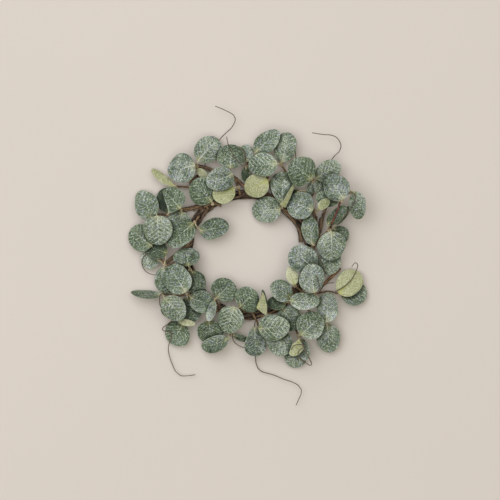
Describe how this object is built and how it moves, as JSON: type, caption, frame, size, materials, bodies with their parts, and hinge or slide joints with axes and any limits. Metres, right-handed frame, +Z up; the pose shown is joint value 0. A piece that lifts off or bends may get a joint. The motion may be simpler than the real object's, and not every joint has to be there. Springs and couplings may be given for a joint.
{
  "type": "eucalyptus wreath",
  "caption": "Small round wreath of frosted silver-dollar eucalyptus leaves and thin curling wires on a twisted woody ring, lying flat with an open middle.",
  "frame": {"origin": "centre of the wreath's bounding box, on the plane it lies on", "axes": "+Z up from the table out of the wreath's face; +Y to the top of the picture, along the longest extent; +X to the picture's right"},
  "size_m": [0.24, 0.301, 0.0418],
  "materials": {
    "bark": "dull brown vine bark",
    "foliage": "frosted grey-green leaf, matte, with a paler underside",
    "wire": "stiff taupe covered wire, matte"
  },
  "bodies": {
    "root": {"ring_strand_1": "bark", "ring_strand_2": "bark", "ring_strand_3": "bark", "ring_strand_4": "bark", "spray_bottom": "foliage", "spray_bottom_drop": "foliage", "spray_bottom_left": "foliage", "spray_bottom_pair": "foliage", "spray_bottom_right": "foliage", "spray_corner": "foliage", "spray_foot": "foliage", "spray_left": "foliage", "spray_left_lower": "foliage", "spray_left_pale": "foliage", "spray_left_upper": "foliage", "spray_low_corner": "foliage", "spray_right": "foliage", "spray_right_low": "foliage", "spray_right_mid": "foliage", "spray_right_upper": "foliage", "spray_ring_corner": "foliage", "spray_ring_left": "foliage", "spray_ring_low": "foliage", "spray_ring_low_left": "foliage", "spray_ring_right": "foliage", "spray_ring_upper": "foliage", "spray_top": "foliage", "spray_top_left": "foliage", "spray_top_mid": "foliage", "spray_top_pale": "foliage", "spray_top_right": "foliage", "twig_chord": "bark", "twig_corner": "bark", "twig_left_lower": "bark", "twig_left_upper": "bark", "twig_right_inner": "bark", "twig_right_outer": "bark", "twig_stub": "bark", "twig_top_left": "bark", "wire_bottom": "wire", "wire_bottom_left": "wire", "wire_foot": "wire", "wire_foot_short": "wire", "wire_frosty": "wire", "wire_left": "wire", "wire_left_lower": "wire", "wire_reddish": "wire", "wire_right_loop": "wire", "wire_right_twig": "wire", "wire_right_upper": "wire", "wire_ring_right": "wire", "wire_top": "wire", "wire_top_left": "wire", "wire_top_right": "wire", "wire_top_short": "wire"}
  },
  "joints": []
}
